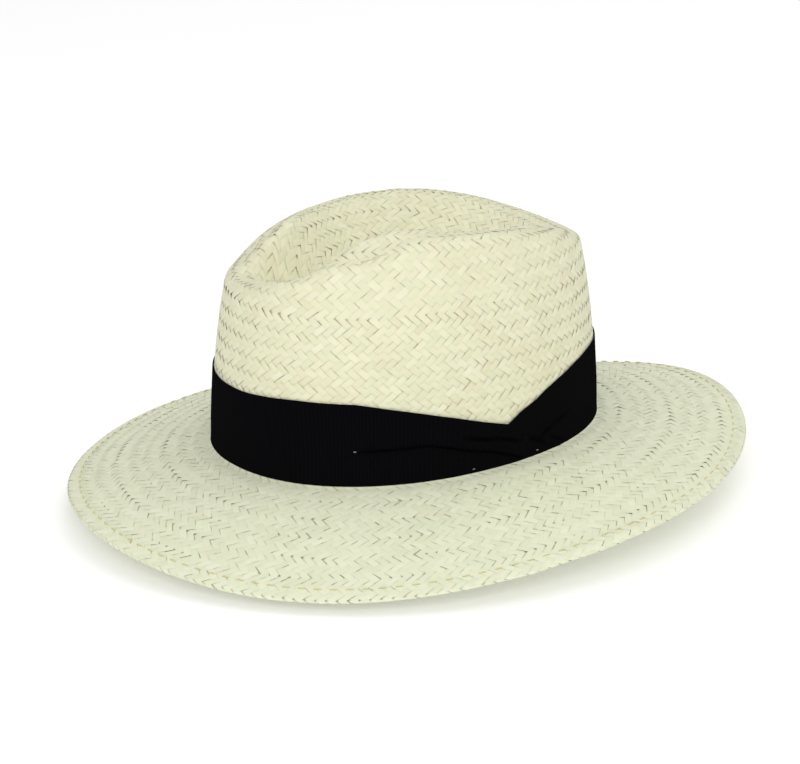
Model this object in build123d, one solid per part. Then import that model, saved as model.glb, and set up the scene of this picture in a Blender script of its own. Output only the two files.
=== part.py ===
import os
from math import atan2, cos, exp, pi, radians, sin, sqrt

from build123d import *

os.makedirs("parts", exist_ok=True)

# Millimetres. Front of the hat is -Y, the wearer's left is +X, up is +Z.

# crown
crown_half_length = 106.8      # outside of the crown at the brim, front to back
crown_half_width = 80.5        # outside of the crown at the brim, side to side
oval_fullness = 2.15           # 2 is an ellipse, more is squarer
straw = 1.5                    # thickness of the woven straw
wall_lean = 0.006              # how fast the wall leans in, straight part
wall_curve = 0.00103           # how fast the wall leans in, part that grows with height

# rim and teardrop dent in the top of the crown
rim_height = 110.6             # middle of the crown, above the brim join
rim_drop = 18.2                # how much lower the front and back are
rim_tilt = 6.5                 # left side higher, right side lower
rim_twist = 9.5                # front left higher, back left lower
rim_inset = 12.5               # the rim is this much inside the foot of the wall
dent_depth = 36.0
dent_front_half_width = 31.0
dent_middle_half_width = 56.0
dent_back_half_width = 32.7
dent_front_gap = 16.8          # from the front of the crown's foot to the front end of the dent
dent_back_gap = 15.8           # the same at the back
dent_front_run = 26.0          # length over which the dent gets to its full depth
dent_back_run = 69.0           # and over which it runs out toward the back
dent_widening = 95.0           # length over which it widens from the front
dent_narrowing = 76.0          # and over which it narrows to its back end
pinch_from_front = 60.8        # middle of the front pinch, from the front of the crown's foot
pinch_lift = 8.4               # the front of each side is drawn up by the pinch
pinch_lift_across = 13.0
pinch_lift_along = 24.0
pinch_hollow = 2.5             # shallow finger hollow just ahead of that, on both sides
pinch_hollow_x = 48.0
pinch_hollow_across = 10.0
pinch_hollow_along = 16.0
pinch_hollow_ahead = 14.0
rim_round = 6.0

# brim
brim_half_length = 187.0
brim_half_width = 160.2
brim_shift = 3.5               # the brim is this much longer at the back than at the front
brim_drop = 20.8               # outer edge below the crown join, on average
brim_bow = 1.12
brim_wave_cos = (-4.1, 2.4, -1.0, 2.3)   # one, two, three and four waves to a turn
brim_wave_sin = (5.7, -7.1, 1.0, -0.6)
hem_width = 8.0
hem_fold = 0.6                 # thickness of the edge turned under

# band round the crown
band_height = 41.5
band_tie_height = 21.5         # height left where the ribbon is drawn in
band_thick = 0.9
band_gap = 0.3
band_foot = 0.6                # gap between the band and the brim

# sweatband
sweat_height = 34.0
sweat_thick = 1.1
sweat_gap = 0.3
sweat_foot = 2.2
reed_diameter = 2.2
reed_gap = 0.15

# thread and small pieces
thread = 0.6
thread_gap = 0.08              # threads lie just clear of the straw or the leather
hem_stitch_pitch = 8.0
hem_stitch_length = 5.0
sweat_stitch_pitch = 6.5
sweat_stitch_length = 4.0
tack_length = 2.6
tack_places = ((45, 18.7), (80.5, 2.6), (100, 2.9))   # angle from the front, height
tape_width = 15.0
tape_thick = 0.5
label_width = 28.0
label_height = 17.0
label_thick = 0.4
label_back_x = -34.0
label_foot = 9.0               # above the foot of the sweatband
lining_gap = 0.1               # the tape and the label lie just clear of the leather
small_turn = 0.01              # turn, in radians, that gives the direction along a seam

# sizes of the blanks that shapes are cut from
blank_top = rim_height + pinch_lift + 7.0
blank_below = 40.0
blank_margin = 7.0
reach = 260.0                  # longer than any cut has to be


def smooth(t):
    t = min(max(t, 0.0), 1.0)
    return t * t * (3 - 2 * t)


def lean(height):
    """How far the wall has leaned in at this height."""
    h = max(height, 0.0)
    return wall_lean * h + wall_curve * h * h


def around(angle, half_length, half_width, fullness=oval_fullness):
    c, s = cos(angle), sin(angle)
    x = half_width * abs(s) ** (2 / fullness) * (1 if s >= 0 else -1)
    y = -half_length * abs(c) ** (2 / fullness) * (1 if c >= 0 else -1)
    return x, y


def oval_norm(x, y, half_length, half_width):
    u, v = abs(x / half_width), abs(y / half_length)
    return (u ** oval_fullness + v ** oval_fullness) ** (1 / oval_fullness)


def wall_point(angle, z, outward=0.0):
    """Point on the crown wall, the angle counted from the front toward the left."""
    grow = outward - lean(z)
    x, y = around(angle, crown_half_length + grow, crown_half_width + grow)
    return Vector(x, y, z)


def wall_ring(z, outward=0.0, count=48):
    """Level line round the crown wall, moved outward by the given amount."""
    points = [wall_point(2 * pi * i / count, z, outward) for i in range(count)]
    return Edge.make_spline(points, periodic=True)


def crown_oval(z, outward=0.0):
    return Face(Wire(wall_ring(z, outward)))


def crown_block(low, high, outward=0.0, levels=5):
    step = (high - low) / (levels - 1)
    return loft([crown_oval(low + step * i, outward) for i in range(levels)])


def top_height(x, y):
    """Height of the crown's outer top above the brim join, dent included."""
    half_l, half_w = crown_half_length - rim_inset, crown_half_width - rim_inset
    u, v = x / half_w, y / half_l
    z = rim_height - rim_drop * v * v + u * (rim_tilt - rim_twist * v)
    from_front = y + crown_half_length - dent_front_gap
    to_back = crown_half_length - dent_back_gap - y
    width = dent_front_half_width
    width += (dent_middle_half_width - dent_front_half_width) * smooth((from_front - 5) / dent_widening)
    width += (dent_back_half_width - width) * (1 - smooth(to_back / dent_narrowing))
    along_pinch = y + crown_half_length - pinch_from_front
    crest = (abs(x) - 0.95 * width) / pinch_lift_across
    z += pinch_lift * exp(-crest ** 2 - (along_pinch / pinch_lift_along) ** 2)
    beside = (abs(x) - pinch_hollow_x) / pinch_hollow_across
    ahead = (along_pinch + pinch_hollow_ahead) / pinch_hollow_along
    z -= pinch_hollow * exp(-beside ** 2 - ahead ** 2)
    depth = dent_depth * smooth(from_front / dent_front_run) * smooth(to_back / dent_back_run)
    across = min(abs(x) / width, 1.0)
    return z - depth * (1 - across ** 2.4) ** 1.6


def inner_height(x, y):
    """The same top, one straw thickness inside."""
    slope_x = (top_height(x + 1, y) - top_height(x - 1, y)) / 2
    slope_y = (top_height(x, y + 1) - top_height(x, y - 1)) / 2
    return top_height(x, y) - straw * sqrt(1 + slope_x ** 2 + slope_y ** 2)


def brim_height(x, y):
    """Height of the brim's top face; zero where it meets the crown."""
    y_brim = y - brim_shift
    turn = atan2(x / brim_half_width, -y_brim / brim_half_length)
    edge = -brim_drop
    for n, (c, s) in enumerate(zip(brim_wave_cos, brim_wave_sin), start=1):
        edge += c * cos(n * turn) + s * sin(n * turn)
    inside = (oval_norm(x, y, crown_half_length, crown_half_width) - 1) * crown_half_width
    out = sqrt((x / brim_half_width) ** 2 + (y_brim / brim_half_length) ** 2)
    outside = (1 - out) * brim_half_width
    share = max(inside / max(inside + outside, 20.0), 0.0)
    return edge * share ** brim_bow


def surface(height, half_x, half_y, steps_x, steps_y):
    """Smooth face through a level grid of heights."""
    rows = []
    for i in range(steps_x + 1):
        x = -half_x + 2 * half_x * i / steps_x
        ys = [-half_y + 2 * half_y * j / steps_y for j in range(steps_y + 1)]
        rows.append([Vector(x, y, height(x, y)) for y in ys])
    return Face.make_surface_from_array_of_points(rows, tol=0.05, min_deg=3, max_deg=3)


def under_top(height):
    """Everything below the crown's top."""
    half_x, half_y = crown_half_width + blank_margin, crown_half_length + blank_margin
    return extrude(surface(height, half_x, half_y, 30, 40), reach, dir=(0, 0, -1))


def rim_edges(block):
    """The long edges where the wall meets the top."""
    return [e for e in block.edges() if e.center().Z > rim_height / 2 and e.length > 20]


def brim_oval(inset):
    """Upright block in the plan of the brim, this much inside its edge."""
    plan = Ellipse(brim_half_width - inset, brim_half_length - inset)
    return Pos(0, brim_shift, -reach / 2) * extrude(plan, reach)


def wall_shell(low, high, outward, thick):
    """Thin band that follows the crown wall."""
    return crown_block(low, high, outward + thick) - crown_block(low - 1, high + 1, outward)


def brim_point(angle, inset, down=0.0):
    """Point on the brim, this far in from its edge and this far below its top face."""
    x = (brim_half_width - inset) * sin(angle)
    y = brim_shift - (brim_half_length - inset) * cos(angle)
    return Vector(x, y, brim_height(x, y) - down)


def along(point, ahead, up, length, width):
    """Short straight stitch lying along a line."""
    plane = Plane(origin=point, x_dir=ahead - point, z_dir=up)
    return plane.location * Box(length, width, width)


def save(shape, name):
    export_step(shape, f"parts/{name}.step")


# straw body: crown and brim woven as one, the edge of the brim turned under
crown = crown_block(-straw / 2, blank_top) & under_top(top_height)
crown = crown.fillet(rim_round, rim_edges(crown))
hollow = crown_block(-blank_below, blank_top, -straw, 7) & under_top(inner_height)
hollow = hollow.fillet(rim_round - straw, rim_edges(hollow))

brim_face = surface(brim_height, brim_half_width + blank_margin, brim_half_length + blank_margin, 40, 46)
brim_outline = brim_oval(0)
crown_hole = Pos(0, 0, -reach / 2) * extrude(crown_oval(0, -straw / 2), reach)
brim = (extrude(brim_face, straw, dir=(0, 0, -1)) & brim_outline) - crown_hole
hem = extrude(brim_face, straw + hem_fold, dir=(0, 0, -1)) & (brim_outline - brim_oval(hem_width))
body = (crown - hollow) + (brim + hem)

lift = Pos(0, -brim_shift, -body.bounding_box().min.Z)
save(lift * body, "straw_body")
print("straw body", body.is_valid, len(body.solids()), round(body.volume), body.bounding_box())

# ribbon band round the crown, drawn in to a narrow tie on the left side
band = wall_shell(band_foot, band_foot + band_height, band_gap, band_thick)
notch = [(-62, 1.0), (-56, 0.86), (-30, 0.525), (-8, 0.175), (1, 0.0),   # place along the side, share of
         (8, 0.21), (28, 0.61), (56, 0.955), (62, 1.0), (62, 1.5), (-62, 1.5)]   # the way up from the tie
drawn_in = band_height - band_tie_height
corners = [(0, y, band_foot + band_tie_height + share * drawn_in) for y, share in notch]
notch_block = extrude(make_face(Polyline(corners, close=True)), reach, dir=(1, 0, 0))
band = band - Pos(crown_half_width / 3, 0, 0) * notch_block
save(lift * band, "hat_band")
print("band", band.is_valid, len(band.solids()), round(band.volume))

# white tacks that hold the folds of the ribbon
outside = band_gap + band_thick + thread_gap + thread / 2
tacks = []
for degrees_round, height in tack_places:
    a = radians(degrees_round)
    here, ahead = wall_point(a, height, outside), wall_point(a + small_turn, height, outside)
    tacks.append(along(here, ahead, Vector(0, 0, 1), tack_length, thread))
save(lift * Compound(children=tacks), "band_tacks")

# sweatband inside the crown, the reed under its foot, the seam tape and the blank size label
sweat_out = -straw - sweat_gap - sweat_thick
sweat_top = sweat_foot + sweat_height
sweatband = wall_shell(sweat_foot, sweat_top, sweat_out, sweat_thick)
save(lift * sweatband, "sweatband")
print("sweatband", sweatband.is_valid, len(sweatband.solids()), round(sweatband.volume))

reed_path = wall_ring(sweat_foot - reed_diameter / 2 - reed_gap, sweat_out + sweat_thick / 2)
reed_section = Plane(origin=reed_path @ 0, z_dir=reed_path % 0) * Circle(reed_diameter / 2)
reed = sweep(reed_section, path=Wire(reed_path))
save(lift * reed, "sweatband_reed")

back = crown_half_length
tape_inside = sweat_out - tape_thick - lining_gap
tape_shell = wall_shell(sweat_foot + 1, sweat_top - 1, tape_inside, tape_thick)
tape = tape_shell & (Pos(0, back, 0) * Box(tape_width, back, reach))
save(lift * tape, "seam_tape")

label_low = sweat_foot + label_foot
label_inside = sweat_out - label_thick - lining_gap
label_shell = wall_shell(label_low, label_low + label_height, label_inside, label_thick)
label = label_shell & (Pos(label_back_x, back, 0) * Box(label_width, back, reach))
save(lift * label, "size_label")
print("tape", tape.is_valid, len(tape.solids()), "label", label.is_valid, len(label.solids()))

# row of stitches that holds the sweatband
inside = sweat_out - thread_gap - thread / 2
seam_height = sweat_foot + 0.5
tape_room = tape_width / 2 + 3
stitches = []
count = round(2 * pi * sqrt((crown_half_length ** 2 + crown_half_width ** 2) / 2) / sweat_stitch_pitch)
for i in range(count):
    a = 2 * pi * (i + 0.5) / count
    here, ahead = wall_point(a, seam_height, inside), wall_point(a + small_turn, seam_height, inside)
    if abs(here.X) > tape_room or here.Y < 0:
        stitches.append(along(here, ahead, Vector(0, 0, 1), sweat_stitch_length, thread))
save(lift * Compound(children=stitches), "sweatband_stitching")

# row of stitches that holds the turned-under hem, seen above and below
count = round(2 * pi * sqrt((brim_half_length ** 2 + brim_half_width ** 2) / 2) / hem_stitch_pitch)
stitches = []
clear = thread_gap + thread / 2
hem_seam = hem_width - 1.2
for i in range(count):
    for down, offset in ((-clear, 0), (straw + hem_fold + clear, 0.5)):
        a = 2 * pi * (i + offset) / count
        here, ahead = brim_point(a, hem_seam, down), brim_point(a + small_turn, hem_seam, down)
        stitches.append(along(here, ahead, Vector(0, 0, 1), hem_stitch_length, thread))
save(lift * Compound(children=stitches), "hem_stitching")
print("stitches", len(stitches))
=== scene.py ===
import math

import bpy
import numpy as np
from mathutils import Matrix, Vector
from mathutils.bvhtree import BVHTree


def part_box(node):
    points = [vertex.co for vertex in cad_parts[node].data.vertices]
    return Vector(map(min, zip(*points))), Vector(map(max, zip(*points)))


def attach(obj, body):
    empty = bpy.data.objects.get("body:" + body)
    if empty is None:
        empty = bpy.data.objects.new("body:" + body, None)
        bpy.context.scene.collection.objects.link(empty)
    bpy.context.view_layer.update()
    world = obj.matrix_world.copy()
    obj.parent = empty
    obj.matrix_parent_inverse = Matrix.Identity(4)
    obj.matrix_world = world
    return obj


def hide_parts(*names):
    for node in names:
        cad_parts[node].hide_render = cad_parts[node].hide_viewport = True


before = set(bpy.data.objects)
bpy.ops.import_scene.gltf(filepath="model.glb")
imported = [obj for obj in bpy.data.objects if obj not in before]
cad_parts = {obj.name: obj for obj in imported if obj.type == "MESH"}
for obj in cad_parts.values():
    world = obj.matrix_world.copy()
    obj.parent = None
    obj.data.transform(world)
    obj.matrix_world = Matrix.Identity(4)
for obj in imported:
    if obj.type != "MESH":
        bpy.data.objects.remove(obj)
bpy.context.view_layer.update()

# Panama hat. Flat straws are plaited over the shape of the CAD straw body, then come the
# ribbon, the sweatband and the thread. Metres. Front is -Y, the wearer's left is +X.

mm = 0.001
rng = np.random.default_rng(12)

bandFoot = 0.6 * mm                                # the CAD band stands this far off the brim
bandThick = 1.2 * mm                               # its outer face is this far off the crown
cadBandLow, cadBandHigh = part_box("hat_band")
joinZ = cadBandLow.z - bandFoot                    # height where the brim meets the crown
sweatLow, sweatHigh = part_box("sweatband")
axisY = (sweatLow.y + sweatHigh.y) / 2             # middle of the crown, front to back
print("frame loaded, the brim joins the crown at", round(joinZ, 4))


# modelling helpers

def deselectAll():
    if bpy.context.object and bpy.context.object.mode != "OBJECT":
        bpy.ops.object.mode_set(mode="OBJECT")
    bpy.ops.object.select_all(action="DESELECT")


def pick(piece):
    deselectAll()
    piece.select_set(True)
    bpy.context.view_layer.objects.active = piece


def applyModifier(piece, kind, **settings):
    pick(piece)
    modifier = piece.modifiers.new(kind.title(), kind)
    for key, value in settings.items():
        setattr(modifier, key, value)
    bpy.ops.object.modifier_apply(modifier=modifier.name)


def gridPiece(name, across, along):
    deselectAll()
    bpy.ops.mesh.primitive_grid_add(x_subdivisions=across, y_subdivisions=along, size=1)
    piece = bpy.context.object
    piece.name = name
    piece.data.name = name
    return piece


# Moves a grid's vertices onto points[column, row]
def layGrid(piece, points):
    across, along = points.shape[0] - 1, points.shape[1] - 1
    flat = np.empty(len(piece.data.vertices) * 3)
    piece.data.vertices.foreach_get("co", flat)
    flat = flat.reshape(-1, 3)
    column = np.rint((flat[:, 0] + 0.5) * across).astype(int)
    row = np.rint((flat[:, 1] + 0.5) * along).astype(int)
    piece.data.vertices.foreach_set("co", points[column, row].ravel())
    piece.data.update()
    return column, row


def closeSeam(piece, near=0.01 * mm):
    pick(piece)
    bpy.ops.object.mode_set(mode="EDIT")
    bpy.ops.mesh.select_all(action="SELECT")
    bpy.ops.mesh.remove_doubles(threshold=near)
    bpy.ops.object.mode_set(mode="OBJECT")


def giveAttribute(piece, name, values):
    layer = piece.data.attributes.new(name, "FLOAT_VECTOR", "POINT")
    layer.data.foreach_set("vector", np.asarray(values, np.float32).ravel())


def finishPiece(piece, material, slot, *nodes):
    piece.data.materials.clear()
    piece.data.materials.append(material)
    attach(piece, "root")
    if nodes:
        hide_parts(*nodes)
    return piece


# Smooth curve that doesn't overshoot, through (x, y) points
def curveThrough(points, x):
    px, py = np.array(points, float).T
    steps = np.diff(px)
    slopes = np.diff(py) / steps
    tangent = np.zeros(len(px))
    same = slopes[:-1] * slopes[1:] > 0
    tangent[1:-1][same] = 2 * slopes[:-1][same] * slopes[1:][same] / (slopes[:-1] + slopes[1:])[same]
    tangent[0], tangent[-1] = slopes[0], slopes[-1]
    k = np.clip(np.searchsorted(px, x) - 1, 0, len(steps) - 1)
    t = np.clip((x - px[k]) / steps[k], 0, 1)
    return ((2 * t ** 3 - 3 * t ** 2 + 1) * py[k] + (t ** 3 - 2 * t ** 2 + t) * steps[k] * tangent[k]
            + (3 * t ** 2 - 2 * t ** 3) * py[k + 1] + (t ** 3 - t ** 2) * steps[k] * tangent[k + 1])


def smoothstep(low, high, x):
    t = np.clip((x - low) / (high - low), 0, 1)
    return t * t * (3 - 2 * t)


# the shape of the straw, read off the CAD body along half planes through the crown's axis

shape = {
    "turns": 360,             # half planes round the hat
    "steps": 1200,            # points along each one, from the top outside to the top inside
    "levelHeight": 84 * mm,   # the rows of straw are level up to here
    "hemWidth": 8 * mm,
    "softening": 0.8 * mm,    # how far sharp corners are rounded
}

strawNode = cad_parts["straw_body"]
strawTree = BVHTree.FromPolygons([v.co for v in strawNode.data.vertices],
                                 [tuple(p.vertices) for p in strawNode.data.polygons])


# Radius and height where a ray in the half plane meets the straw, or None
def cast(turn, r, z, alongR, alongZ):
    out = Vector((math.sin(turn), -math.cos(turn), 0))
    start = Vector((0, axisY, z)) + out * r
    hit = strawTree.ray_cast(start, out * alongR + Vector((0, 0, alongZ)))[0]
    if hit is None:
        return None
    return hit.x * out.x + (hit.y - axisY) * out.y, hit.z


# Section of the straw body: outside from the middle of the top, round the brim, inside back to the middle
def meridian(turn):
    step = 0.5 * mm
    footR = cast(turn, 0.15, joinZ + 2 * mm, -1, 0)[0]
    footInside = cast(turn, footR - 5 * mm, joinZ + 2 * mm, 1, 0)[0]
    top = [cast(turn, r, 0.3, 0, -1) for r in np.arange(0, footR, step)]
    crest = max(p[1] for p in top if p and p[0] > 0.6 * footR)
    wall = [cast(turn, 0.15, z, -1, 0) for z in np.arange(crest - 4 * mm, joinZ + step, -step * 2)]
    wall = [p for p in wall if p and p[0] > 0.6 * footR]
    top = [p for p in top if p and p[0] < wall[0][0] - 0.3 * mm]
    edgeR, stride = footR + 2 * mm, 8 * mm
    while stride > 0.02 * mm:
        if cast(turn, edgeR + stride, 0.2, 0, -1):
            edgeR += stride
        else:
            stride /= 2
    brim = [p for p in (cast(turn, r, 0.2, 0, -1) for r in np.arange(footR + step, edgeR, step)) if p]
    brim.append((edgeR, brim[-1][1]))
    under = [cast(turn, r, -0.02, 0, 1) for r in np.arange(edgeR - 0.02 * mm, footInside + step, -step)]
    under = [p for p in under if p]
    under.insert(0, (edgeR, under[0][1]))
    wallR = np.array([p[0] for p in wall[::-1]])
    wallZ = np.array([p[1] for p in wall[::-1]])
    inWall = []
    for z in np.arange(joinZ - 0.3 * mm, crest - 7 * mm, step * 2):
        inWall.append(cast(turn, np.interp(z, wallZ, wallR) - 3.5 * mm, z, 1, 0))
    inWall = [p for p in inWall if p and p[0] > 0.6 * footR]
    inTop = [cast(turn, r, joinZ + 5 * mm, 0, 1) for r in np.arange(inWall[-1][0] - 0.3 * mm, 0, -step)]
    inTop = [p for p in inTop if p]
    inTop.append((0.0, inTop[-1][1]))
    top[0] = (0.0, top[0][1])
    chain = np.array(top + wall + brim + under + inWall + inTop)
    arc = np.concatenate([[0], np.cumsum(np.hypot(*np.diff(chain, axis=0).T))])
    ends = np.cumsum([len(part) for part in (top, wall, brim, under, inWall)])
    level = joinZ + shape["levelHeight"]
    wallPart = slice(len(top), ends[1])
    inPart = slice(ends[3], ends[4])
    underPart = slice(ends[2], ends[3])
    marks = [
        0,
        np.interp(-level, -chain[wallPart, 1], arc[wallPart]),
        arc[ends[1] - 1] + step / 2,
        arc[ends[2] - 1],
        np.interp(-(edgeR - shape["hemWidth"]), -chain[underPart, 0], arc[underPart]),
        arc[ends[3]],
        np.interp(level, chain[inPart, 1], arc[inPart]),
        arc[-1],
    ]
    even = np.linspace(0, arc[-1], shape["steps"] + 1)
    reach = int(3 * shape["softening"] / (even[1] - even[0]))
    kernel = np.exp(-0.5 * (np.arange(-reach, reach + 1) * (even[1] - even[0]) / shape["softening"]) ** 2)
    kernel /= kernel.sum()
    line = []
    for values in chain.T:
        padded = np.pad(np.interp(even, arc, values), reach, mode="edge")
        line.append(np.convolve(padded, kernel, mode="valid"))
    line[0][0] = line[0][-1] = 0
    return even, np.array(line), marks


# half planes are spread evenly along the foot of the crown, starting at the front
coarse = np.linspace(0, 2 * math.pi, 241)
footRing = np.array([cast(t, 0.15, joinZ + 20 * mm, -1, 0)[0] for t in coarse])
ringX, ringY = footRing * np.sin(coarse), footRing * np.cos(coarse)
ringArc = np.concatenate([[0], np.cumsum(np.hypot(np.diff(ringX), np.diff(ringY)))])
footLength = ringArc[-1]
turnList = np.interp(np.linspace(0, footLength, shape["turns"], endpoint=False), ringArc, coarse)
sections = [meridian(t) for t in turnList]
print("straw shape read, the crown's foot is", round(footLength, 4), "round")

# rows of plaiting, counted along the section from the middle of the top outside to the middle inside
rowCounts = {"top": 28, "wall": 20, "brim": 18, "hem": 3, "under": 17, "insideWall": 20, "insideTop": 28}
perRow = 4
rowEdge = dict(zip(rowCounts, np.cumsum([0] + list(rowCounts.values()))))
lastRow = sum(rowCounts.values())


def sampleSections():
    grid = []
    for arc, line, marks in sections:
        places = [np.linspace(marks[i], marks[i + 1], n * perRow, endpoint=False)
                  for i, n in enumerate(rowCounts.values())]
        places = np.concatenate(places + [[marks[-1]]])
        grid.append([np.interp(places, arc, line[0]), np.interp(places, arc, line[1])])
    grid = np.array(grid)
    weights = (1, 4, 6, 4, 1)
    grid = sum(np.roll(grid, k - 2, axis=0) * w for k, w in enumerate(weights)) / sum(weights)
    r, z = grid[:, 0], grid[:, 1]
    across = np.sin(turnList)[:, None] * r
    back = axisY - np.cos(turnList)[:, None] * r
    return np.stack([across, back, z], axis=-1)


strawGrid = sampleSections()
alongTurn = np.roll(strawGrid, -1, axis=0) - np.roll(strawGrid, 1, axis=0)
alongRow = np.gradient(strawGrid, axis=1)
strawNormal = np.cross(alongRow, alongTurn)
strawNormal[:, 0] = (0, 0, 1)
strawNormal[:, -1] = (0, 0, -1)
strawNormal /= np.linalg.norm(strawNormal, axis=-1, keepdims=True)
ringLength = np.linalg.norm(np.roll(strawGrid, -1, axis=0) - strawGrid, axis=-1).sum(axis=0)


# Place and outward direction on the straw, u once round from the front and row counted as above
def onStraw(u, row):
    fu = np.mod(u, 1) * len(turnList)
    fv = np.clip(row, 0, lastRow) * perRow
    i, j = np.floor(fu).astype(int), np.minimum(np.floor(fv).astype(int), lastRow * perRow - 1)
    tu, tv = (fu - i)[..., None], (fv - j)[..., None]
    i, i1 = i % len(turnList), (i + 1) % len(turnList)
    result = []
    for grid in (strawGrid, strawNormal):
        low = grid[i, j] * (1 - tu) + grid[i1, j] * tu
        high = grid[i, j + 1] * (1 - tu) + grid[i1, j + 1] * tu
        result.append(low * (1 - tv) + high * tv)
    result[1] /= np.linalg.norm(result[1], axis=-1, keepdims=True)
    return result


wallLevels = np.linspace(0, 80 * mm, 81)


# Radius of the wall on every half plane at level steps above the brim join
def wallTable(part, direction):
    columns = slice(rowEdge[part] * perRow, (rowEdge[part] + rowCounts[part]) * perRow + 1)
    z = strawGrid[:, columns, 2][:, ::direction] - joinZ
    r = np.hypot(strawGrid[:, columns, 0], strawGrid[:, columns, 1] - axisY)[:, ::direction]
    table = [np.interp(wallLevels, z[k], r[k]) for k in range(len(turnList))]
    return np.array(table + table[:1])


wallTables = {"outside": wallTable("wall", -1), "inside": wallTable("insideWall", 1)}


# Place on the crown's wall, and the direction out of it, both level
def onWall(turn, height, outward, face="outside"):
    turn, height, outward = np.broadcast_arrays(turn, height, outward)
    table = wallTables[face]
    fu = np.interp(np.mod(turn, 2 * math.pi), np.append(turnList, 2 * math.pi), np.arange(len(table)))
    fv = np.clip(height / mm, 0, len(wallLevels) - 1.001)
    i, j = np.minimum(fu.astype(int), len(table) - 2), fv.astype(int)
    tu, tv = fu - i, fv - j
    radius = (table[i, j] * (1 - tv) + table[i, j + 1] * tv) * (1 - tu)
    radius = radius + (table[i + 1, j] * (1 - tv) + table[i + 1, j + 1] * tv) * tu + outward
    side = np.stack([np.sin(turn), -np.cos(turn), np.zeros_like(turn)], axis=-1)
    place = side * radius[..., None]
    place[..., 1] += axisY
    place[..., 2] = joinZ + height
    return place, side


bandHalfWidth = cadBandHigh.x - bandThick
bandHalfLength = cadBandHigh.y - axisY - bandThick


# Turn round the crown for an angle counted along its oval, from the front toward the left
def ovalTurn(degrees):
    angle = np.radians(degrees)
    s, c = np.sin(angle), np.cos(angle)
    power = 2 / 2.15
    return np.arctan2(bandHalfWidth * np.sign(s) * np.abs(s) ** power,
                      bandHalfLength * np.sign(c) * np.abs(c) ** power)


# materials

def newMaterial(name, color, roughness, specular=0.5):
    material = bpy.data.materials.new(name)
    material.use_nodes = True
    shader = material.node_tree.nodes["Principled BSDF"]
    shader.inputs["Base Color"].default_value = (*color, 1)
    shader.inputs["Roughness"].default_value = roughness
    shader.inputs["Specular IOR Level"].default_value = specular
    return material, material.node_tree.nodes, material.node_tree.links, shader


def addNode(nodes, kind, **inputs):
    node = nodes.new(kind)
    for key, value in inputs.items():
        name = key.replace("_", " ")
        if name in node.inputs:
            node.inputs[name].default_value = value
        else:
            setattr(node, key, value)
    return node


def colorRamp(nodes, stops):
    ramp = nodes.new("ShaderNodeValToRGB")
    while len(ramp.color_ramp.elements) < len(stops):
        ramp.color_ramp.elements.new(0.5)
    for element, (place, color) in zip(ramp.color_ramp.elements, stops):
        element.position = place
        element.color = (*color, 1)
    return ramp


def mixColor(nodes, links, factor, first, second, blend="MULTIPLY"):
    mix = nodes.new("ShaderNodeMix")
    mix.data_type = "RGBA"
    mix.blend_type = blend
    for socket, value in ((mix.inputs["Factor"], factor), (mix.inputs[6], first), (mix.inputs[7], second)):
        if isinstance(value, bpy.types.NodeSocket):
            links.new(value, socket)
        elif isinstance(value, (int, float)):
            socket.default_value = value
        else:
            socket.default_value = (*value, 1)
    return mix.outputs[2]


strawLook = {
    "crown": {"cream": (0.80, 0.785, 0.565), "green": (0.785, 0.795, 0.565), "pale": (0.82, 0.81, 0.61),
              "tan": (0.79, 0.755, 0.54)},
    # the brim's straw is the crown's straw made lighter and a little greener: painted light on the brim
    "brim": {"cream": (0.81, 0.835, 0.625), "green": (0.80, 0.84, 0.625), "pale": (0.83, 0.85, 0.66),
             "tan": (0.80, 0.81, 0.60)},
    "roughness": 0.55,
    "fibreDepth": 0.25,       # strength of the bump along the straws
}


def strawMaterial(name, part):
    look = strawLook[part]
    material, nodes, links, shader = newMaterial(name, look["cream"], strawLook["roughness"], 0.3)
    strand = addNode(nodes, "ShaderNodeAttribute", attribute_name="strand")
    split = nodes.new("ShaderNodeSeparateXYZ")
    links.new(strand.outputs["Vector"], split.inputs[0])
    tint = colorRamp(nodes, [(0.0, look["tan"]), (0.14, look["cream"]), (0.5, look["green"]),
                             (0.75, look["cream"]), (1.0, look["pale"])])
    links.new(split.outputs[0], tint.inputs[0])
    shade = colorRamp(nodes, [(0.0, (0.93, 0.93, 0.92)), (1.0, (1, 1, 1))])
    links.new(split.outputs[1], shade.inputs[0])
    fibre = addNode(nodes, "ShaderNodeAttribute", attribute_name="fibre")
    streak = addNode(nodes, "ShaderNodeTexNoise", Scale=1.0, Detail=4.0, Roughness=0.6)
    links.new(fibre.outputs["Vector"], streak.inputs["Vector"])
    streakTone = colorRamp(nodes, [(0.3, (0.92, 0.91, 0.87)), (0.6, (1, 1, 1))])
    links.new(streak.outputs["Fac"], streakTone.inputs[0])
    color = mixColor(nodes, links, 1.0, tint.outputs[0], shade.outputs[0])
    color = mixColor(nodes, links, 0.6, color, streakTone.outputs[0])
    # painted shade: each float is darkened towards its ends, where it dips under its neighbours
    edge = colorRamp(nodes, [(0.0, (1, 1, 1)), (0.7, (1, 1, 1)), (1.0, (0.92, 0.90, 0.80))])
    links.new(split.outputs[2], edge.inputs[0])
    color = mixColor(nodes, links, 1.0, color, edge.outputs[0])
    links.new(color, shader.inputs["Base Color"])
    bump = addNode(nodes, "ShaderNodeBump", Strength=strawLook["fibreDepth"], Distance=0.0002)
    links.new(streak.outputs["Fac"], bump.inputs["Height"])
    links.new(bump.outputs[0], shader.inputs["Normal"])
    return material


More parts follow.
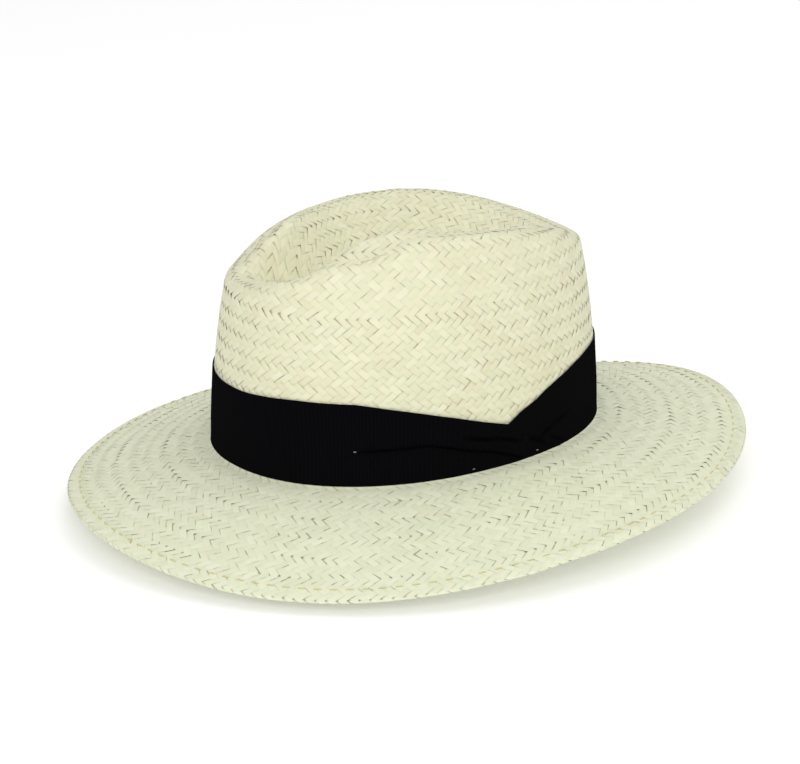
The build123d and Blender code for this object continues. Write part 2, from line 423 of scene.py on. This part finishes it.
def shadedUnderStrawMaterial():
    # painted shade: the straw below is coloured darker than the floats above it, with uneven tone from
    # noise
    material, nodes, links, shader = newMaterial("shadedStrawBelow", (0.60, 0.58, 0.42), 0.8, 0.2)
    place = nodes.new("ShaderNodeTexCoord")
    noise = addNode(nodes, "ShaderNodeTexNoise", Scale=300.0, Detail=3.0)
    links.new(place.outputs["Object"], noise.inputs["Vector"])
    tone = colorRamp(nodes, [(0.35, (0.56, 0.50, 0.33)), (0.7, (0.70, 0.65, 0.46))])
    links.new(noise.outputs["Fac"], tone.inputs[0])
    links.new(tone.outputs[0], shader.inputs["Base Color"])
    return material


shadedStrawBelow = shadedUnderStrawMaterial()
crownStraw = strawMaterial("crownStraw", "crown")
litBrimStraw = strawMaterial("litBrimStraw", "brim")


# under layer: the crossing straws that show only in the gaps, one closed skin, coloured darker than the
# floats as painted shade in the gaps

underLayer = {"depth": 0.5 * mm, "turnStep": 2, "rowStep": 2}


def makeUnderLayer():
    points = strawGrid - strawNormal * underLayer["depth"]
    points = points[::underLayer["turnStep"], ::underLayer["rowStep"]]
    points = np.concatenate([points, points[:1]])
    points[:, 0] = points[:, 0].mean(axis=0)
    points[:, -1] = points[:, -1].mean(axis=0)
    piece = gridPiece("straw_under_layer", points.shape[0] - 1, points.shape[1] - 1)
    layGrid(piece, points[:, ::-1])
    closeSeam(piece)
    pick(piece)
    bpy.ops.object.shade_smooth()
    return finishPiece(piece, shadedStrawBelow, "straw", "straw_body")


makeUnderLayer()
print("under layer made")


# plaited straw: slanted floats in rows, each row leaning the other way from the last

plait = {
    "pitch": 5.3 * mm,        # from one float to the next along a row
    "wide": 0.985,            # share of the space that a straw fills
    "tuck": 1.22,             # floats run on this far, under their neighbours
    "arch": 0.14 * mm,        # how much a float swells in its middle
    "crown": 0.13 * mm,       # how much a straw is rounded across
    "dip": 0.34 * mm,         # how deep the ends go
    "lift": 0.02 * mm,
    # how much relief each part shows; the crown's wall is worked coarser than the brim
    "relief": {"top": 0.85, "wall": 1.2, "brim": 0.45, "hem": 0.45, "under": 0.45, "insideWall": 1.0,
               "insideTop": 0.85},
    "uneven": {"wide": 0.035, "raised": 0.03 * mm, "turned": 0.02, "slip": 0.02},
}
floatAlong = np.array([-plait["tuck"], -1.0, -0.74, -0.28, 0.28, 0.74, 1.0, plait["tuck"]])
floatAcross = np.array([-1.0, -0.72, 0.72, 1.0])


# One float of straw, modelled flat: its faces and each vertex's share along and across
def oneFloat():
    piece = gridPiece("float", len(floatAlong) - 1, len(floatAcross) - 1)
    corners = np.zeros((len(floatAlong), len(floatAcross), 3))
    corners[..., 0] = floatAlong[:, None]
    corners[..., 1] = floatAcross[None, :]
    layGrid(piece, corners)
    places = np.empty(len(piece.data.vertices) * 3)
    piece.data.vertices.foreach_get("co", places)
    faces = np.array([tuple(p.vertices) for p in piece.data.polygons])
    bpy.data.objects.remove(piece)
    places = places.reshape(-1, 3)
    return places[:, 0], places[:, 1], faces[:, ::-1]


floatA, floatB, floatFaces = oneFloat()


# How many floats go round in each row; rows in one band have the same count
def rowBands():
    wallStart, brimStart = rowEdge["wall"], rowEdge["brim"]
    insideStart, insideTop = rowEdge["insideWall"], rowEdge["insideTop"]
    edges = [0, 1, 2, 4, 6, 9, 12, 16, 20, wallStart, brimStart]
    edges += list(range(brimStart + 3, insideStart, 3)) + [insideStart, insideTop]
    edges += [lastRow - e for e in (20, 16, 12, 9, 6, 4, 2, 1, 0)]
    counts = np.zeros(lastRow, int)
    for low, high in zip(edges[:-1], edges[1:]):
        middle = int((low + high) / 2 * perRow)
        counts[low:high] = max(5, round(ringLength[middle] / plait["pitch"]))
    return counts


bandCounts = rowBands()
mostStrands = 512                                  # more than go round in any row
strandTint = rng.random((2, mostStrands))


def weave(name, material, firstRow, endRow):
    allPoints, allStrand, allFibre = [], [], []
    uneven = plait["uneven"]
    for row in range(firstRow, endRow):
        relief = plait["relief"][max((edge, part) for part, edge in rowEdge.items() if edge <= row)[1]]
        count = bandCounts[row]
        number = np.arange(count)
        lean = 1 if row % 2 == 0 else -1
        strand = (number - row) % count if lean > 0 else (number + row + 1) % count
        freshBand = row > 0 and bandCounts[row - 1] != count
        wide = plait["wide"] * (1 + rng.normal(0, uneven["wide"], count)) * (0.96 if freshBand else 1)
        raised = rng.normal(0, uneven["raised"], count)
        turned = rng.normal(0, uneven["turned"], count)
        slip = rng.normal(0, uneven["slip"], (count, 2))
        b = floatB[None, :] * wide[:, None]
        a = floatA[None, :] + b * 0
        u = number[:, None] + (0.25 if lean > 0 else 0.75) + slip[:, :1]
        u = u + 0.5 * a - lean * 0.25 * b + turned[:, None] * a
        v = row + 0.5 + slip[:, 1:] + lean * 0.5 * a + 0.25 * b
        place, out = onStraw(u / count, v)
        end = np.clip((np.abs(floatA) - 0.66) / (plait["tuck"] - 0.66), 0, 1)
        high = plait["arch"] * np.cos(floatA / plait["tuck"] * math.pi / 2)
        high = high + plait["crown"] * (1 - np.abs(floatB) ** 3) - plait["dip"] * end ** 1.6
        high = plait["lift"] + relief * (high[None, :] + raised[:, None])
        allPoints.append((place + out * high[..., None]).reshape(-1, 3))
        tint = strandTint[0 if lean > 0 else 1, strand][:, None] + np.zeros_like(a)
        shade = rng.random(count)[:, None] + np.zeros_like(a)
        # painted shade mask: how far into its dip under the neighbours each point of a float lies
        tuckShade = end[None, :] + np.zeros_like(b)
        allStrand.append(np.stack([tint, shade, tuckShade], axis=-1).reshape(-1, 3))
        fibre = np.stack([a * 0.8 + strand[:, None] * 7.3, b * 4.5, b * 0 + row * 3.1], axis=-1)
        allFibre.append(fibre.reshape(-1, 3))
    points = np.concatenate(allPoints)
    perFloat = len(floatA)
    total = len(points) // perFloat
    faces = (floatFaces[None] + np.arange(total)[:, None, None] * perFloat).reshape(-1, 4)
    mesh = bpy.data.meshes.new(name)
    mesh.vertices.add(len(points))
    mesh.vertices.foreach_set("co", points.ravel())
    mesh.loops.add(faces.size)
    mesh.loops.foreach_set("vertex_index", faces.ravel())
    mesh.polygons.add(len(faces))
    mesh.polygons.foreach_set("loop_start", np.arange(0, faces.size, 4))
    mesh.update(calc_edges=True)
    mesh.polygons.foreach_set("use_smooth", np.ones(len(faces), bool))
    piece = bpy.data.objects.new(name, mesh)
    bpy.context.scene.collection.objects.link(piece)
    giveAttribute(piece, "strand", np.concatenate(allStrand))
    giveAttribute(piece, "fibre", np.concatenate(allFibre))
    print(name, total, "floats,", len(faces) * 2, "triangles")
    return finishPiece(piece, material, "straw")


weave("crown_plait", crownStraw, 0, rowEdge["brim"])
weave("brim_plait", litBrimStraw, rowEdge["brim"], rowEdge["under"])
weave("brim_under_plait", litBrimStraw, rowEdge["under"], rowEdge["insideWall"])
weave("crown_inside_plait", crownStraw, rowEdge["insideWall"], lastRow)


# ribbon: black grosgrain, tucked and drawn in to a narrow tie on the left side

ribbon = {
    "foot": 0.5,              # millimetres above the brim, as are the heights below
    "tieAngle": 90.5,         # where the top edge is drawn down to its lowest
    "topBefore": [(-180, 41.6), (-90, 41.0), (-18, 40.4), (-1, 40.6), (13, 42.0), (26, 43.0), (43, 42.6),
                  (58, 38.7), (73, 32.2), (85, 25.2), (90.5, 21.7)],
    "topAfter": [(90.5, 21.7), (94, 25.7), (99.5, 29.4), (105, 33.6), (113, 37.4), (122, 40.4), (133, 42.0),
                 (150, 41.8), (180, 41.6)],
    "foldLine": [(-180, 16), (30, 17), (47.5, 18.2), (66, 18.7), (70.5, 17.2), (79.5, 12.2), (85.5, 9.2),
                 (91.5, 4.2), (94.5, 1.4), (97, 1.2), (103, 6), (115, 14), (180, 16)],
    "foldFrom": 44,
    "foldTo": 96,
    "fineFrom": 38,           # the mesh is finer between these two angles
    "fineTo": 122,
    "foldStep": 0.75 * mm,
    "standOff": 0.95 * mm,    # outer face of the ribbon off the crown
    "thick": 0.45 * mm,
    "creases": [((86, 17.0), (94, 11.0), 0.7, 1.5), ((96.5, 12.0), (103, 5.0), 0.6, 1.4),
                ((100, 9.0), (106.5, 13.7), 0.5, 1.4), ((106.5, 13.7), (114, 16.2), 0.35, 1.6),
                ((105, 7.7), (112, 1.5), 0.5, 1.5), ((78, 19.5), (87, 15.5), 0.4, 1.8)],
    "rib": 0.68,              # millimetres from rib to rib
    "shadowScale": 4,         # the third value of weft is how deep in a fold a point lies, times this
}


def ribbonMaterial():
    material, nodes, links, shader = newMaterial("blackGrosgrain", (0.003, 0.003, 0.0035), 0.8, 0.0)
    weft = addNode(nodes, "ShaderNodeAttribute", attribute_name="weft")
    split = nodes.new("ShaderNodeSeparateXYZ")
    links.new(weft.outputs["Vector"], split.inputs[0])
    ribs = addNode(nodes, "ShaderNodeMath", operation="MULTIPLY")
    links.new(split.outputs[0], ribs.inputs[0])
    ribs.inputs[1].default_value = 2 * math.pi / ribbon["rib"]
    wave = addNode(nodes, "ShaderNodeMath", operation="SINE")
    links.new(ribs.outputs[0], wave.inputs[0])
    noise = addNode(nodes, "ShaderNodeTexNoise", Scale=1.3, Detail=3.0)
    links.new(weft.outputs["Vector"], noise.inputs["Vector"])
    height = addNode(nodes, "ShaderNodeMath", operation="MULTIPLY_ADD")
    links.new(noise.outputs["Fac"], height.inputs[0])
    height.inputs[1].default_value = 0.6
    links.new(wave.outputs[0], height.inputs[2])
    bump = addNode(nodes, "ShaderNodeBump", Strength=0.5, Distance=0.00015)
    links.new(height.outputs[0], bump.inputs["Height"])
    links.new(bump.outputs[0], shader.inputs["Normal"])
    # painted shade: the ribbon is darker where the ribs' wave is low, in the grooves, and unevenly by noise
    tone = colorRamp(nodes, [(0.0, (0.0016, 0.0016, 0.002)), (1.0, (0.005, 0.005, 0.006))])
    links.new(height.outputs[0], tone.inputs[0])
    dark = colorRamp(nodes, [(0.0, (1, 1, 1)), (1.0, (0.05, 0.05, 0.05))])
    depth = addNode(nodes, "ShaderNodeMath", operation="MULTIPLY")
    links.new(split.outputs[2], depth.inputs[0])
    depth.inputs[1].default_value = 1 / ribbon["shadowScale"]
    links.new(depth.outputs[0], dark.inputs[0])
    color = mixColor(nodes, links, 1.0, tone.outputs[0], dark.outputs[0])
    links.new(color, shader.inputs["Base Color"])
    shader.inputs["Sheen Weight"].default_value = 0.006
    shader.inputs["Sheen Roughness"].default_value = 0.5
    return material


# Distance to a straight line between two points, and how far along it, both arrays
def awayFrom(x, y, first, second):
    dx, dy = second[0] - first[0], second[1] - first[1]
    share = np.clip(((x - first[0]) * dx + (y - first[1]) * dy) / (dx * dx + dy * dy), 0, 1)
    return np.hypot(x - first[0] - share * dx, y - first[1] - share * dy), share


def makeRibbon():
    fineFrom, fineTo = ribbon["fineFrom"], ribbon["fineTo"]
    angles = np.concatenate([np.arange(-180, fineFrom, 1.5), np.arange(fineFrom, fineTo, 0.3),
                             np.arange(fineTo, 180.1, 1.45)])
    angles[np.argmin(np.abs(angles - ribbon["tieAngle"]))] = ribbon["tieAngle"]
    before = angles <= ribbon["tieAngle"]
    top = np.where(before, curveThrough(ribbon["topBefore"], angles),
                   curveThrough(ribbon["topAfter"], angles))
    fold = curveThrough(ribbon["foldLine"], angles)
    turn = ovalTurn(angles)
    turn[0], turn[-1] = -math.pi, math.pi
    middle = onWall(turn, 20 * mm, ribbon["standOff"])[0]
    arc = np.concatenate([[0], np.cumsum(np.linalg.norm(np.diff(middle, axis=0), axis=1))]) / mm
    foot = ribbon["foot"]
    lower = np.linspace(0, 1, 9)[None, :] * (fold - 0.1 - foot)[:, None] + foot
    upper = np.linspace(0, 1, 17)[None, :] * (top - fold - 0.1)[:, None] + fold[:, None] + 0.1
    z = np.concatenate([lower, upper], axis=1)
    x = arc[:, None] + np.zeros_like(z)
    isUpper = np.arange(z.shape[1])[None, :] >= lower.shape[1]
    folded = (smoothstep(ribbon["foldFrom"], ribbon["foldFrom"] + 5, angles)
              * (1 - smoothstep(ribbon["foldTo"] - 2, ribbon["foldTo"], angles)))[:, None]
    above = np.maximum(z - fold[:, None], 0)
    out = ribbon["standOff"] + isUpper * folded * ribbon["foldStep"] * (0.35 + 0.65 * np.exp(-above / 7))
    shadow = isUpper * folded * np.exp(-(above / 1.1) ** 2)
    for first, second, depth, width in ribbon["creases"]:
        start = (np.interp(first[0], angles, arc), first[1])
        stop = (np.interp(second[0], angles, arc), second[1])
        gap, share = awayFrom(x, z, start, stop)
        fade = np.sin(np.clip(share, 0.08, 0.92) * math.pi) ** 0.5
        out = out + mm * depth * fade * (0.75 * np.exp(-((gap - 1.7 * width) / width) ** 2)
                                         - 0.45 * np.exp(-(gap / (0.55 * width)) ** 2))
        shadow = np.maximum(shadow, 0.8 * fade * np.exp(-(gap / (0.6 * width)) ** 2))
    tieArc = np.interp(ribbon["tieAngle"], angles, arc)
    out = out + 0.7 * mm * np.exp(-((x - tieArc - 2) / 11) ** 2 - ((z - 11) / 9) ** 2)
    out = out + 0.12 * mm * np.sin(x / 23 + z / 31) * np.sin(x / 57 + 1.3)
    out = out + 0.25 * mm * smoothstep(0.75, 1.0, (z - foot) / (top[:, None] - foot))
    points = onWall(turn[:, None], z * mm, out)[0]
    piece = gridPiece("ribbon_band", points.shape[0] - 1, points.shape[1] - 1)
    column, row = layGrid(piece, points)
    weft = np.stack([x, z, shadow * ribbon["shadowScale"]], axis=-1)[column, row]
    giveAttribute(piece, "weft", weft)
    closeSeam(piece)
    applyModifier(piece, "SOLIDIFY", thickness=ribbon["thick"], offset=-1)
    pick(piece)
    bpy.ops.object.shade_smooth_by_angle(angle=math.radians(50))
    finishPiece(piece, ribbonMaterial(), "ribbon", "hat_band")
    return piece


makeRibbon()
print("ribbon made")


# thread: each stitch is a short rounded loop whose ends go down into what it holds

stitch = {"around": 6, "along": 7}


# Stitches at places, each along its own direction, as one piece
def threadPiece(name, places, ahead, out, length, thick):
    sides, steps = stitch["around"], stitch["along"]
    piece = gridPiece("stitch", sides, steps)
    share = np.linspace(-1, 1, steps + 1)
    turn = np.linspace(0, 2 * math.pi, sides + 1)
    corners = np.zeros((sides + 1, steps + 1, 3))
    radius = thick / 2 * np.sqrt(1 - share ** 6)
    rise = thick * (0.42 - 1.1 * np.abs(share) ** 3)
    corners[..., 0] = share * length / 2
    corners[..., 1] = np.sin(turn)[:, None] * radius
    corners[..., 2] = np.cos(turn)[:, None] * radius + rise
    layGrid(piece, corners)
    closeSeam(piece, 0.001 * mm)
    local = np.array([v.co[:] for v in piece.data.vertices])
    faces = [tuple(p.vertices) for p in piece.data.polygons]
    bpy.data.objects.remove(piece)
    side = np.cross(out, ahead)
    points = (places[:, None] + local[None, :, :1] * ahead[:, None] + local[None, :, 1:2] * side[:, None]
              + local[None, :, 2:] * out[:, None]).reshape(-1, 3)
    starts = [number * len(local) for number in range(len(places))]
    allFaces = [[start + corner for corner in face] for start in starts for face in faces]
    mesh = bpy.data.meshes.new(name)
    mesh.from_pydata(points.tolist(), [], allFaces)
    mesh.polygons.foreach_set("use_smooth", np.ones(len(allFaces), bool))
    made = bpy.data.objects.new(name, mesh)
    bpy.context.scene.collection.objects.link(made)
    start = np.repeat(rng.random((len(places), 1)) * 9, len(local), axis=0)
    ply = np.tile(local / mm, (len(places), 1)) + start
    giveAttribute(made, "ply", ply)
    return made


def threadMaterial(name, light, dark):
    material, nodes, links, shader = newMaterial(name, light, 0.7, 0.3)
    ply = addNode(nodes, "ShaderNodeAttribute", attribute_name="ply")
    twist = addNode(nodes, "ShaderNodeTexWave", Scale=1.2, Distortion=0.6, bands_direction="DIAGONAL")
    links.new(ply.outputs["Vector"], twist.inputs["Vector"])
    # painted shade: the thread is darker in the grooves of its twist
    tone = colorRamp(nodes, [(0.2, dark), (0.8, light)])
    links.new(twist.outputs["Fac"], tone.inputs[0])
    links.new(tone.outputs[0], shader.inputs["Base Color"])
    bump = addNode(nodes, "ShaderNodeBump", Strength=0.5, Distance=0.0001)
    links.new(twist.outputs["Fac"], bump.inputs["Height"])
    links.new(bump.outputs[0], shader.inputs["Normal"])
    return material


hemThread = {"fromEdge": 6.8 * mm, "pitch": 8 * mm, "length": 5 * mm, "thick": 0.6 * mm,
             "edgeRoom": 2.7 * mm}    # length of the hem's rows that goes round the edge itself
paleThread = threadMaterial("paleYellowThread", (0.80, 0.74, 0.42), (0.62, 0.55, 0.28))
whiteThread = threadMaterial("whiteThread", (0.45, 0.45, 0.44), (0.22, 0.22, 0.21))


def unit(vectors):
    return vectors / np.linalg.norm(vectors, axis=-1, keepdims=True)


def makeHemStitches():
    hemRow, hemRows, room = rowEdge["hem"], rowCounts["hem"], hemThread["edgeRoom"]
    edge = strawGrid[:, hemRow * perRow]
    rowLength = np.linalg.norm(edge - strawGrid[:, (hemRow - 1) * perRow], axis=1).mean()
    above = hemRow - hemThread["fromEdge"] / rowLength
    hemLength = np.linalg.norm(strawGrid[:, (hemRow + hemRows) * perRow] - edge, axis=1).mean()
    below = hemRow + hemRows * min(1.0, (hemThread["fromEdge"] + room) / (hemLength + room))
    count = round(ringLength[int(above * perRow)] / hemThread["pitch"])
    places, aheads, outs = [], [], []
    for row, offset in ((above, 0.0), (below, 0.5)):
        u = (np.arange(count) + offset) / count
        place, out = onStraw(u, np.full(count, row))
        nextPlace = onStraw(u + 0.002, np.full(count, row))[0]
        ahead = unit(nextPlace - place)
        ahead = unit(ahead - out * (ahead * out).sum(axis=1, keepdims=True))
        places.append(place + out * 0.2 * mm)
        aheads.append(ahead)
        outs.append(out)
    piece = threadPiece("hem_thread", np.concatenate(places), np.concatenate(aheads), np.concatenate(outs),
                        hemThread["length"], hemThread["thick"])
    return finishPiece(piece, paleThread, "thread", "hem_stitching")


tacks = {"places": [(45, 18.7), (80.5, 2.6), (100, 2.9)], "length": 1.6 * mm, "thick": 0.4 * mm,
         "standOff": 1.1 * mm}


def makeTacks():
    angles = np.array([place[0] for place in tacks["places"]])
    heights = np.array([place[1] for place in tacks["places"]]) * mm
    place, out = onWall(ovalTurn(angles), heights, tacks["standOff"])
    ahead = unit(onWall(ovalTurn(angles + 1), heights, tacks["standOff"])[0] - place)
    out = unit(out - ahead * (ahead * out).sum(axis=1, keepdims=True))
    piece = threadPiece("ribbon_tacks", place, ahead, out, tacks["length"], tacks["thick"])
    return finishPiece(piece, whiteThread, "tack_thread", "band_tacks")


makeHemStitches()
makeTacks()
print("hem and ribbon stitches made")


# sweatband, its piping and stitches, the tape over its seam and the blank label

sweat = {
    "foot": 2.2, "tall": 34.0,        # millimetres above the brim
    "gap": 0.5 * mm, "thick": 1.0 * mm,
    "columns": 240, "rows": 12,
}


def leatherMaterial():
    material, nodes, links, shader = newMaterial("tanLeather", (0.30, 0.17, 0.09), 0.48, 0.4)
    place = nodes.new("ShaderNodeTexCoord")
    grain = addNode(nodes, "ShaderNodeTexVoronoi", Scale=1400.0)
    links.new(place.outputs["Object"], grain.inputs["Vector"])
    patches = addNode(nodes, "ShaderNodeTexNoise", Scale=60.0, Detail=5.0)
    links.new(place.outputs["Object"], patches.inputs["Vector"])
    tone = colorRamp(nodes, [(0.3, (0.20, 0.105, 0.052)), (0.7, (0.36, 0.205, 0.11))])
    links.new(patches.outputs["Fac"], tone.inputs[0])
    links.new(tone.outputs[0], shader.inputs["Base Color"])
    bump = addNode(nodes, "ShaderNodeBump", Strength=0.35, Distance=0.0002)
    links.new(grain.outputs["Distance"], bump.inputs["Height"])
    links.new(bump.outputs[0], shader.inputs["Normal"])
    return material


# Strip that follows the inside of the crown wall, its outer face at outward and its wall thick
def wallStrip(name, fromTurn, toTurn, low, high, outward, thick, columns, rows):
    turn = np.linspace(fromTurn, toTurn, columns + 1)
    z = np.linspace(low, high, rows + 1)
    points = onWall(turn[:, None], z[None, :] * mm, outward - thick, "inside")[0]
    piece = gridPiece(name, columns, rows)
    column, row = layGrid(piece, points[::-1])
    spread = np.stack(np.broadcast_arrays(turn[::-1, None] * 90, z[None, :], 0 * z[None, :]), axis=-1)
    giveAttribute(piece, "weft", spread[column, row])
    closeSeam(piece)
    applyModifier(piece, "SOLIDIFY", thickness=thick, offset=-1)
    applyModifier(piece, "BEVEL", width=0.35 * thick, segments=2, limit_method="ANGLE",
                  angle_limit=math.radians(50))
    pick(piece)
    bpy.ops.object.shade_smooth_by_angle(angle=math.radians(50))
    return piece


def makeSweatband():
    piece = wallStrip("leather_sweatband", -math.pi, math.pi, sweat["foot"], sweat["foot"] + sweat["tall"],
                      -sweat["gap"], sweat["thick"], sweat["columns"], sweat["rows"])
    finishPiece(piece, leatherMaterial(), "leather", "sweatband")
    return piece


def pipingMaterial():
    material, nodes, links, shader = newMaterial("brownPiping", (0.10, 0.06, 0.04), 0.55, 0.4)
    place = nodes.new("ShaderNodeTexCoord")
    noise = addNode(nodes, "ShaderNodeTexNoise", Scale=900.0, Detail=3.0)
    links.new(place.outputs["Object"], noise.inputs["Vector"])
    tone = colorRamp(nodes, [(0.3, (0.06, 0.034, 0.022)), (0.7, (0.13, 0.08, 0.052))])
    links.new(noise.outputs["Fac"], tone.inputs[0])
    links.new(tone.outputs[0], shader.inputs["Base Color"])
    bump = addNode(nodes, "ShaderNodeBump", Strength=0.3, Distance=0.0002)
    links.new(noise.outputs["Fac"], bump.inputs["Height"])
    links.new(bump.outputs[0], shader.inputs["Normal"])
    return material


sweatThread = {"height": 2.9, "pitch": 6.5 * mm, "length": 4 * mm, "thick": 0.6 * mm}
tape = {"wide": 15 * mm, "thick": 0.5 * mm, "from": 3.2, "to": 35.2}
label = {"wide": 28 * mm, "thick": 0.4 * mm, "from": 11.2, "to": 28.2, "middleX": -34 * mm}
innerFace = -sweat["gap"] - sweat["thick"]


def makeSweatStitches():
    count = round(footLength * 0.97 / sweatThread["pitch"])
    turn = np.interp((np.arange(count) + 0.5) / count, np.linspace(0, 1, len(turnList) + 1),
                     np.append(turnList, 2 * math.pi))
    height = sweatThread["height"] * mm
    place, out = onWall(turn, height, innerFace - 0.05 * mm, "inside")
    clear = (np.abs(place[:, 0]) > tape["wide"] / 2 + 3 * mm) | (place[:, 1] < axisY)
    ahead = unit(onWall(turn + 0.01, height, innerFace - 0.05 * mm, "inside")[0] - place)
    out = -unit(out - ahead * (ahead * out).sum(axis=1, keepdims=True))
    piece = threadPiece("sweatband_thread", place[clear], ahead[clear], out[clear],
                        sweatThread["length"], sweatThread["thick"])
    return finishPiece(piece, paleThread, "thread", "sweatband_stitching")


def wovenMaterial(name, light, dark, pitch):
    material, nodes, links, shader = newMaterial(name, light, 0.65, 0.3)
    weft = addNode(nodes, "ShaderNodeAttribute", attribute_name="weft")
    bands = addNode(nodes, "ShaderNodeTexWave", Scale=1 / pitch, Distortion=0.4, bands_direction="Y")
    links.new(weft.outputs["Vector"], bands.inputs["Vector"])
    # painted shade: tape and label are darker in the grooves between their woven bands
    tone = colorRamp(nodes, [(0.1, dark), (0.9, light)])
    links.new(bands.outputs["Fac"], tone.inputs[0])
    links.new(tone.outputs[0], shader.inputs["Base Color"])
    bump = addNode(nodes, "ShaderNodeBump", Strength=0.4, Distance=0.0001)
    links.new(bands.outputs["Fac"], bump.inputs["Height"])
    links.new(bump.outputs[0], shader.inputs["Normal"])
    return material


def makeTapeAndLabel():
    backR = float(np.interp(math.pi, turnList, wallTables["inside"][:-1, 20]))
    half = tape["wide"] / 2 / backR
    piece = wallStrip("seam_cover_tape", math.pi - half, math.pi + half, tape["from"], tape["to"],
                      innerFace - 0.05 * mm, tape["thick"], 16, 24)
    finishPiece(piece, wovenMaterial("blackTape", (0.07, 0.06, 0.06), (0.03, 0.026, 0.026), 3.0), "tape",
                "seam_tape")
    middle = math.pi + math.atan2(-label["middleX"], backR)
    half = label["wide"] / 2 / backR
    piece = wallStrip("blank_label", middle - half, middle + half, label["from"], label["to"],
                      innerFace - 0.05 * mm, label["thick"], 28, 18)
    finishPiece(piece, wovenMaterial("whiteLabel", (0.86, 0.85, 0.80), (0.72, 0.71, 0.66), 2.0), "label",
                "size_label")


makeSweatband()
makeSweatStitches()
makeTapeAndLabel()
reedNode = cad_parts["sweatband_reed"]
reedNode.data.materials.clear()
reedNode.data.materials.append(pipingMaterial())
print("sweatband, stitches, tape and label made")


# camera, light and floor

camera = {
    "azimuth": 52, "elevation": 20.5, "distance": 1.4866,
    "target": (0, axisY, joinZ + 1.7 * mm),
    "lens": 128.1, "shift": (-0.008, 0.044),
}


def makeCamera():
    azimuth, elevation = math.radians(camera["azimuth"]), math.radians(camera["elevation"])
    back = Vector((math.sin(azimuth) * math.cos(elevation), -math.cos(azimuth) * math.cos(elevation),
                   math.sin(elevation)))
    deselectAll()
    bpy.ops.object.camera_add(location=Vector(camera["target"]) + back * camera["distance"],
                              rotation=back.to_track_quat("Z", "Y").to_euler())
    eye = bpy.context.object
    eye.data.lens = camera["lens"]
    eye.data.sensor_width = 36
    eye.data.shift_x, eye.data.shift_y = camera["shift"]
    bpy.context.scene.camera = eye


lights = {
    "world": 0.66,
    "floorGlow": 0.18,
    "front": {"azimuth": 48, "elevation": 30, "distance": 2.4, "size": 1.1, "power": 17},
    "top": {"azimuth": 170, "elevation": 70, "distance": 2.0, "size": 2.0, "power": 9},
}


def makeLight(name, spot):
    azimuth, elevation = math.radians(spot["azimuth"]), math.radians(spot["elevation"])
    back = Vector((math.sin(azimuth) * math.cos(elevation), -math.cos(azimuth) * math.cos(elevation),
                   math.sin(elevation)))
    deselectAll()
    bpy.ops.object.light_add(type="AREA", location=Vector(camera["target"]) + back * spot["distance"],
                             rotation=back.to_track_quat("Z", "Y").to_euler())
    lamp = bpy.context.object
    lamp.name = name
    lamp.data.size = spot["size"]
    lamp.data.energy = spot["power"]


def makeStage():
    deselectAll()
    bpy.ops.mesh.primitive_plane_add(size=40, location=(0, 0, 0))
    floor = bpy.context.object
    floor.name = "studio_floor"
    material, _, _, shader = newMaterial("paleFloor", (0.97, 0.97, 0.97), 0.9, 0.0)
    shader.inputs["Emission Color"].default_value = (1, 1, 1, 1)
    shader.inputs["Emission Strength"].default_value = lights["floorGlow"]
    floor.data.materials.append(material)
    world = bpy.data.worlds.new("studio")
    bpy.context.scene.world = world
    world.use_nodes = True
    world.node_tree.nodes["Background"].inputs["Color"].default_value = (1, 1, 1, 1)
    world.node_tree.nodes["Background"].inputs["Strength"].default_value = lights["world"]
    bpy.context.scene.view_settings.view_transform = "Standard"


makeCamera()
makeLight("front_light", lights["front"])
makeLight("top_light", lights["top"])
makeStage()
print("camera, light and floor placed")
